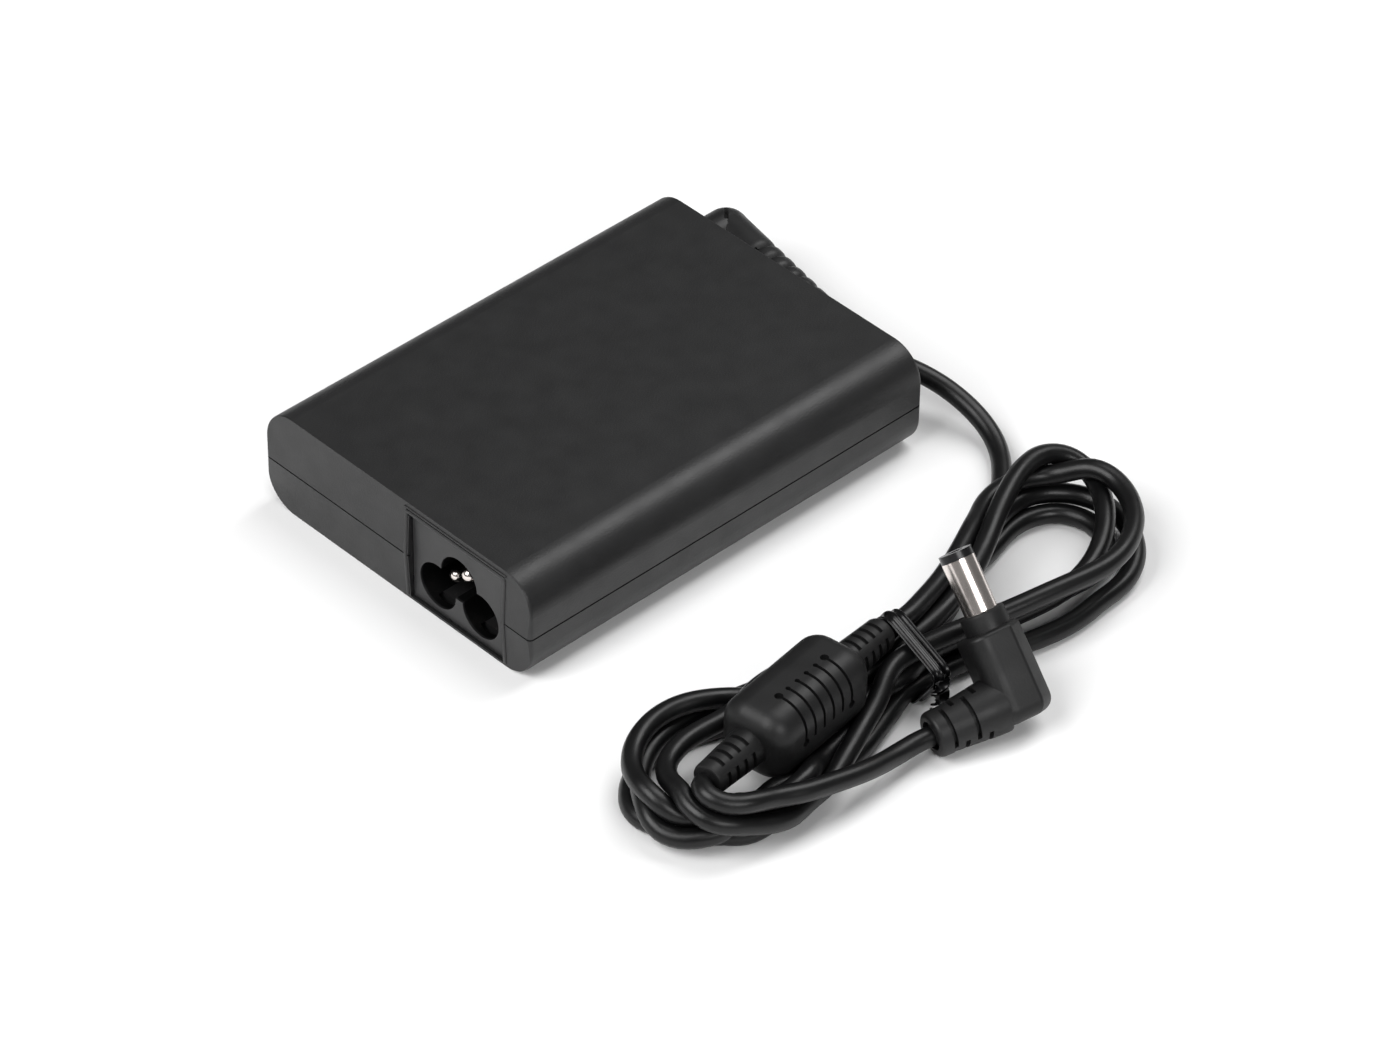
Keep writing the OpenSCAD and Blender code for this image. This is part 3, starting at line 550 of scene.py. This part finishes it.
def outline(corners, radii, inset=0.0, steps=8):
    """A flat outline, anticlockwise, with rounded corners, drawn in by inset."""
    points = []
    for k, radius in enumerate(radii):
        before, here, after = (np.array(corners[(k + n) % len(corners)], float)
                               for n in (-1, 0, 1))
        normals = []
        for run in (here - before, after - here):
            run = run / np.linalg.norm(run)
            normals.append((run[1], -run[0]))
        depth = max(radius, inset + 0.05)  # never quite to a point
        centre = here + np.linalg.solve(np.array(normals), (-depth, -depth))
        start, end = (math.atan2(n[1], n[0]) for n in normals)
        sweep_angle = (end - start) % (2 * math.pi)
        points += [centre + (depth - inset) * np.array((math.cos(a), math.sin(a)))
                   for a in np.linspace(start, start + sweep_angle, steps)]
    return points


def ring_x(x, radius, steps=48):
    """A circle across X."""
    return [(x, radius * math.cos(a), radius * math.sin(a))
            for a in np.linspace(0, 2 * math.pi, steps, endpoint=False)]


def carved(name, shapes, cuts, turn, origin, slot):
    """One piece: closed shapes merged, cuts taken out, all given in millimetres
    in the piece's own frame and placed by turn and origin."""
    body = closed_object("raw", *shapes[0])
    for shape, kind in [(s, "UNION") for s in shapes[1:]] + [(c, "DIFFERENCE") for c in cuts]:
        tool = closed_object("raw", *shape)
        step = body.modifiers.new("step", "BOOLEAN")
        step.operation, step.object, step.solver = kind, tool, "EXACT"
        graph = bpy.context.evaluated_depsgraph_get()
        data = bpy.data.meshes.new_from_object(body.evaluated_get(graph))
        body.modifiers.clear()
        body.data = data
        bpy.data.objects.remove(tool)
    place = Matrix.Translation(Vector(origin)) @ Matrix(turn.tolist()).to_4x4()
    body.data.transform(Matrix.Scale(MM, 4) @ place)
    body.name = body.data.name = name
    for face in body.data.polygons:
        face.use_smooth = True
    body.data.set_sharp_from_angle(angle=math.radians(SHARP_FROM))
    even = body.modifiers.new("even", "WEIGHTED_NORMAL")
    even.keep_sharp = True
    paint(body, slot)
    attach(body, "root")
    return body


def arc_bar(x, radius, middle, spread, width, depth):
    """A bent bar that cuts a slot of some width and depth into a round piece lying
    along X, over spread degrees round the middle angle."""
    turns = np.radians(np.linspace(middle - spread / 2, middle + spread / 2, 14))
    out = [np.array((0, math.cos(a), math.sin(a))) for a in turns]
    line = [np.array((x, 0, 0)) + radius * o for o in out]
    profile = [(-width / 2, -depth), (width / 2, -depth), (width / 2, 1), (-width / 2, 1)]
    return sweep(line, [np.array((1.0, 0, 0))] * len(line), out, profile)


# ---------- moulded pieces of the cord ----------

def turned_shape(shape, turn):
    """A shape's corners and faces, turned about its own origin."""
    return [turn @ np.array(p, float) for p in shape[0]], shape[1]


def square_corners(half):
    return [(half, -half), (half, half), (-half, half), (-half, -half)]


def block_x(x, half, rounding):
    """A square with round corners, across X."""
    return [(x, y, z) for y, z in outline(square_corners(half), [rounding] * 4)]


def make_relief():
    """The case's strain relief: flange and neck in the wall, a round corner with
    one slot, and an arm of soft rings along the end of the case."""
    corner, radius, tip, arm = np.array((51.4, 22.8, 10.2)), 4.25, 2.8, 28.0
    first, pitch, last, waist_depth = 10.1, 3.15, 24.3, 0.55
    slot_width, slot_depth, slot_spread = 0.9, 0.9, 60
    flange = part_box("cord_strain_relief")[0].x / MM - corner[0]
    wall = cad_end(corner[2]) - corner[0]
    bend = [(radius * math.sin(a), radius * math.cos(a)) for a in np.radians(range(0, 90, 9))]
    shapes = [lofted([ring_x(x, r) for x, r in [(wall - 0.3, radius)] + bend]),
              lofted([block_x(x, 4.2, 1.0) for x in (flange + 0.6, wall)]),
              lofted([block_x(x, 5.0, 0.5) for x in (flange, flange + 1.2)])]
    rings = []
    for s in np.arange(0, arm + 0.01, 0.21):
        r = radius - 0.05 + (tip - radius) * s / arm
        if first - pitch / 2 < s < last:
            r -= waist_depth * (1 - abs(math.sin(math.pi * (s - first) / pitch))) ** 1.6
        rings.append(ring_x(s, r - 0.5 * max(0, s - arm + 0.6)))
    along = turned("Z", -97.7)
    shapes.append(turned_shape(lofted(rings), along))
    slots = [turned_shape(arc_bar(first + k * pitch, 3.7 - 0.15 * k, row, slot_spread,
                                  slot_width, slot_depth), along)
             for k in range(5) for row in (135, 225)]
    corner_slot = arc_bar(0, radius, middle=80, spread=62, width=0.75, depth=1.1)
    slots.append(turned_shape(corner_slot, turned("Z", -45)))
    piece = carved("relief_rubber", shapes, [joined(slots)], turned("Z", 0), corner,
                   "relief_rubber")
    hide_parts("cord_strain_relief")
    return piece


def make_choke():
    """The choke's rubber shell: a rounded body with grooves over its front edges,
    and a slotted relief at each end."""
    half, end_round, long_round = 6.5, 3.5, CHOKE_ROUND
    groove_count, groove_pitch, groove_half, groove_depth = 6, 2.3, 0.27, 0.6
    dot_r, end_dot_r, dot_depth = 0.42, 0.72, 0.9
    square = square_corners(half)
    rings = []
    for side in (-1, 1):
        for a in np.radians(np.linspace(0, 90, 8))[::side]:
            x = side * (CHOKE_HALF[0] - end_round + end_round * math.sin(a))
            inset = end_round * (1 - math.cos(a))
            rings.append([(x, y, z) for y, z in outline(square, [long_round] * 4, inset, 10)])
    reliefs = [lofted([ring_x(side * x, r) for x, r in (
        (10.5, 3.4), (12.4, 3.3), (20.4, 2.85), (21.6, 2.8), (22.0, 2.65), (22.2, 2.3))])
        for side in (-1, 1)]
    flat = half - long_round
    path = ([(-1.0, half)] + [(-flat - long_round * math.sin(a), flat + long_round * math.cos(a))
                              for a in np.radians(np.linspace(0, 90, 10))] + [(-half, 0.0)])
    ways = ([(0.0, 1.0)] + [(-math.sin(a), math.cos(a))
                            for a in np.radians(np.linspace(0, 90, 10))] + [(-1.0, 0.0)])
    grooves, dots = [], []
    for turn in (1, -1):
        for k in range(groove_count):
            x = (k - (groove_count - 1) / 2) * groove_pitch
            line = [np.array((x, turn * y, turn * z)) for y, z in path]
            out = [np.array((0, turn * y, turn * z)) for y, z in ways]
            grooves.append(sweep(line, [np.array((1.0, 0, 0))] * len(line), out,
                                 [(-groove_half, -groove_depth), (groove_half, -groove_depth),
                                  (groove_half, 1), (-groove_half, 1)]))
            at_end = k in (0, groove_count - 1)
            wide = end_dot_r if at_end else dot_r
            around_dot = [(wide * math.cos(a), wide * math.sin(a))
                          for a in np.linspace(0, 2 * math.pi, 20, endpoint=False)]
            # each groove starts in a dot on the flat, the end ones end in one too
            dots.append(lofted([[(x + u, turn * (-1 + v), turn * h) for u, v in around_dot]
                                for h in (half - dot_depth, half + 1)]))
            if at_end:
                dots.append(lofted([[(x + u, -turn * h, v) for u, v in around_dot]
                                    for h in (half - dot_depth, half + 1)]))
    slots = [arc_bar(side * (12.0 + at), 3.35 - 0.055 * at, row, spread=64, width=0.75, depth=0.6)
             for side in (-1, 1) for at in (2.2, 4.1, 6.0, 7.9) for row in (0, 90, 180, 270)]
    piece = carved("choke_rubber", [lofted(rings)] + reliefs,
                   [joined(grooves), joined(dots), joined(slots)],
                   CHOKE_TURN, CHOKE, "moulded_black")
    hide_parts("choke_shell")
    return piece


def make_plug():
    """The plug's elbow: a block with soft front edges and a bevelled back, a
    collar for the barrel, and a slotted relief with a deep mouth."""
    front, back, side, bevel = -5.2, 4.4, 4.7, 2.6
    corners = [(front, -side), (back - bevel, -side), (back, -side + bevel),
               (back, side - bevel), (back - bevel, side), (front, side)]
    radii = [3.0, 0.9, 0.9, 0.9, 0.9, 3.0]
    low, high, under, top = -3.9, 11.2, 2.4, 0.8
    rings = []
    for a in np.radians(np.linspace(90, 0, 7)):
        z, inset = low + under * (1 - math.sin(a)), under * (1 - math.cos(a))
        rings.append([(x, y, z) for x, y in outline(corners, radii, inset)])
    for a in np.radians(np.linspace(0, 90, 5)):
        z, inset = high - top * (1 - math.sin(a)), top * (1 - math.cos(a))
        rings.append([(x, y, z) for x, y in outline(corners, radii, inset)])
    collar = lofted([[(r * math.cos(a), r * math.sin(a), z)
                      for a in np.linspace(0, 2 * math.pi, 48, endpoint=False)]
                     for z, r in ((10, 3.75), (13.6, 3.7), (14.0, 3.6), (14.2, 3.3))])
    relief = lofted([ring_x(x, r) for x, r in (
        (-3.5, 4.65), (-5.4, 4.6), (-6.4, 4.5), (-13.3, 3.75), (-13.6, 3.85), (-15.1, 3.8),
        (-15.5, 3.65), (-15.75, 3.35), (-15.8, 3.0))])
    mouth = lofted([ring_x(x, 2.45) for x in (-14.9, -17)])
    # rows of three short slots and of two long ones, turned to face the camera
    toward = PLUG_TURN.T @ TO_CAMERA
    facing = math.degrees(math.atan2(toward[2], toward[1]))
    three, two, slot_size = ((75, 52), (-75, 52), (180, 60)), ((0, 118), (180, 118)), 0.75
    slots = []
    for at, rows in ((2.2, three), (4.2, two), (6.2, three), (8.2, two)):
        slots += [arc_bar(front - at, 4.55 - 0.1 * at, facing + row, spread, slot_size, slot_size)
                  for row, spread in rows]
    piece = carved("plug_elbow", [lofted(rings), collar, relief], [mouth, joined(slots)],
                   PLUG_TURN, PLUG, "moulded_black")
    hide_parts("plug_body")
    return piece


relief_rubber, choke_rubber, plug_elbow = make_relief(), make_choke(), make_plug()


# ---------- trim round the mains inlet ----------

def on_end(y, z):
    """A point on the inlet end of the case."""
    return np.array((-cad_end(z), y, z))


def trim(name, corners, profile, slot, place):
    """A strip swept along a line of (y, z) corners, its ends square."""
    line = evenly(np.array([(y, z, 0.0) for y, z in corners]), 0.3)
    for _ in range(2):
        line[1:-1] = 0.5 * line[1:-1] + 0.25 * (line[:-2] + line[2:])
    points = [place(y, z) for y, z, _ in line]
    ahead = np.gradient(np.array(points), axis=0)
    ahead /= np.linalg.norm(ahead, axis=1)[:, None]
    out = np.array((-1.0, 0, 0))
    across = [np.cross(out, a) for a in ahead]
    return mesh_piece(name, *sweep(points, across, [out] * len(points), profile), slot)


def make_inlet_trim():
    """A raised rim and a ledge on the case round the inlet, and a near-black strip in the joint
    round the housing: painted shade of the gap.
    """
    low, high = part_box("inlet_housing")
    left, right = high.y / MM, low.y / MM
    base, top, face = 0.5, 17.3, low.x / MM
    rim = [(-0.36, -0.15), (0.36, -0.15), (0.33, 0.1), (0.18, 0.17), (-0.18, 0.17),
           (-0.33, 0.1)]
    trim("inlet_rim", [(left + 0.6, 0.7), (left + 0.6, top + 0.7), (right - 0.6, top + 0.7),
                       (right - 0.6, 0.7)], rim, "case_plastic", on_end)
    trim("inlet_ledge", [(left + 1.0, top + 1.45), (right - 1.0, top + 1.45)],
         [(u * 0.55, v) for u, v in rim], "case_plastic", on_end)
    # painted shade: a thin near-black strip on the housing's face along the window's edges stands
    # for the shadow down in the gap
    gap = [(-0.16, -0.02), (0.16, -0.02), (0.16, 0.03), (-0.16, 0.03)]
    trim("inlet_gap_painted_shade", [(left - 0.2, top - 0.2), (left - 0.2, base + 0.2),
                       (right + 0.2, base + 0.2), (right + 0.2, top - 0.2),
                       (left - 0.2, top - 0.2)], gap, "tip_plastic",
         lambda y, z: np.array((face, y, z)))


make_inlet_trim()


# ---------- the twist tie round the waist ----------

def hull(points):
    """Corners of the convex outline round flat points, anticlockwise."""
    points = sorted(map(tuple, points))

    def half(run):
        kept = []
        for p in run:
            while len(kept) > 1 and ((kept[-1][0] - kept[-2][0]) * (p[1] - kept[-2][1])
                                     - (kept[-1][1] - kept[-2][1]) * (p[0] - kept[-2][0])) <= 0:
                kept.pop()
            kept.append(p)
        return kept[:-1]

    return half(points) + half(points[::-1])


def make_tie():
    """The band round the waist and its two twisted ends."""
    band_clearance, band_low, end_turns, end_length = 0.15, 0.72, 1.3, 6.2
    own = (cord_line - WAIST) @ WAIST_TURN
    held = own[(np.abs(own[:, 0]) < 2) & (own[:, 2] < TIE_TOP)][:, 1:]
    circle = [np.array((math.cos(a), math.sin(a)))
              for a in np.linspace(0, 2 * math.pi, 24, endpoint=False)]
    # the band is round the strands and the slack loop at the front
    corners = hull([h + (R + band_clearance) * c for h in held for c in circle]
                   + [np.array(TIE_SLACK) + 0.9 * c for c in circle])
    closed = np.array(corners + corners[:1])
    flat = evenly(np.c_[closed, np.zeros(len(closed))], 0.5)[:-1, :2]
    for _ in range(4):
        flat = 0.5 * flat + 0.25 * (np.roll(flat, 1, 0) + np.roll(flat, -1, 0))
    # the band lies on the floor, pressed a little into the lowest strands
    flat[:, 1] = np.maximum(flat[:, 1], band_low)
    tangent = np.roll(flat, -1, 0) - np.roll(flat, 1, 0)
    tangent /= np.linalg.norm(tangent, axis=1)[:, None]
    outward = np.c_[tangent[:, 1], -tangent[:, 0]]
    line = [at_waist(p[0], p[1]) for p in flat]
    out = [WAIST_TURN @ np.array((0, *o)) for o in outward]
    side = [WAIST_TURN[:, 0]] * len(line)
    # a strip with rolled edges and a wire down its middle
    profile = [(-1.6, 0.0), (1.6, 0.0), (1.72, 0.16), (1.66, 0.36), (1.48, 0.42), (1.3, 0.26),
               (0.5, 0.24), (0.4, 0.48), (0.2, 0.66), (0.0, 0.7), (-0.2, 0.66), (-0.4, 0.48),
               (-0.5, 0.24), (-1.3, 0.26), (-1.48, 0.42), (-1.66, 0.36), (-1.72, 0.16)]
    band = mesh_piece("tie_band", *sweep(line, side, out, profile, True), "tie_plastic")
    # its two ends twisted together, hanging at the front
    top = at_waist(TIE_SLACK[0] - 0.6, TIE_SLACK[1] - 0.6)
    down = WAIST_TURN @ np.array((-0.05, -0.1, -1.0))
    down /= np.linalg.norm(down)
    u = np.cross(down, WAIST_TURN[:, 0])
    u /= np.linalg.norm(u)
    v = np.cross(down, u)
    pieces = [band]
    strip = [(-1.35, -0.14), (1.35, -0.14), (1.42, 0.0), (1.35, 0.14), (0.32, 0.16), (0.0, 0.42),
             (-0.32, 0.16), (-1.35, 0.14), (-1.42, 0.0)]
    for k in (0, 1):
        line, side, out = [], [], []
        for t in np.linspace(0, 1, 60):
            w = k * math.pi + t * 2 * end_turns * math.pi
            spread = 0.45 + 2.0 * max(0, t - 0.75)
            radial = math.cos(w) * u + math.sin(w) * v
            line.append(top + down * end_length * t + radial * spread)
            side.append(math.cos(w + math.pi / 2) * u + math.sin(w + math.pi / 2) * v)
            out.append(radial)
        pieces.append(mesh_piece(f"tie_end_{k + 1}", *sweep(line, side, out, strip),
                                 "tie_plastic"))
    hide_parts("hank_tie")
    return pieces


tie_pieces = make_tie()


# ---------- the cord's surface -----------------------------

paint(output_cord, "cord_jacket")


# ---------- floor and light ----------

def make_stage():
    """A pale floor, reach metres each way."""
    reach = 6.0
    data = bpy.data.meshes.new("floor")
    data.from_pydata([(-reach, -reach, 0), (reach, -reach, 0), (reach, reach, 0),
                      (-reach, reach, 0)], [], [(0, 1, 2, 3)])
    floor = bpy.data.objects.new("floor", data)
    bpy.context.scene.collection.objects.link(floor)
    data.materials.append(material("floor_paper", (0.86, 0.86, 0.86), 0.7, mottle=0.004,
                                   mottle_size=60, grain=0.0))


make_stage()


def lamp(name, place, wide, deep, power):
    """A soft light aimed at the object: place in metres, wide across and deep
    along its line of sight to the floor."""
    data = bpy.data.lights.new(name, "AREA")
    data.shape, data.size, data.size_y, data.energy = "RECTANGLE", wide, deep, power
    made = bpy.data.objects.new(name, data)
    bpy.context.scene.collection.objects.link(made)
    made.location = place
    aim = Vector((0, -0.02, 0)) - Vector(place)
    made.rotation_euler = aim.to_track_quat("-Z", "Y").to_euler()


lamp("key", (-0.8, 0.1, 0.85), 0.8, 0.8, 13)
lamp("overhead", (0.62, -0.05, 1.05), 0.55, 1.1, 9)
lamp("front", (-0.35, -1.2, 0.85), 0.7, 0.5, 8)

world = bpy.data.worlds.new("world")
bpy.context.scene.world = world
world.use_nodes = True
world.node_tree.nodes["Background"].inputs["Color"].default_value = (1, 1, 1, 1)
world.node_tree.nodes["Background"].inputs["Strength"].default_value = 0.14
bpy.context.scene.view_settings.view_transform = "Standard"
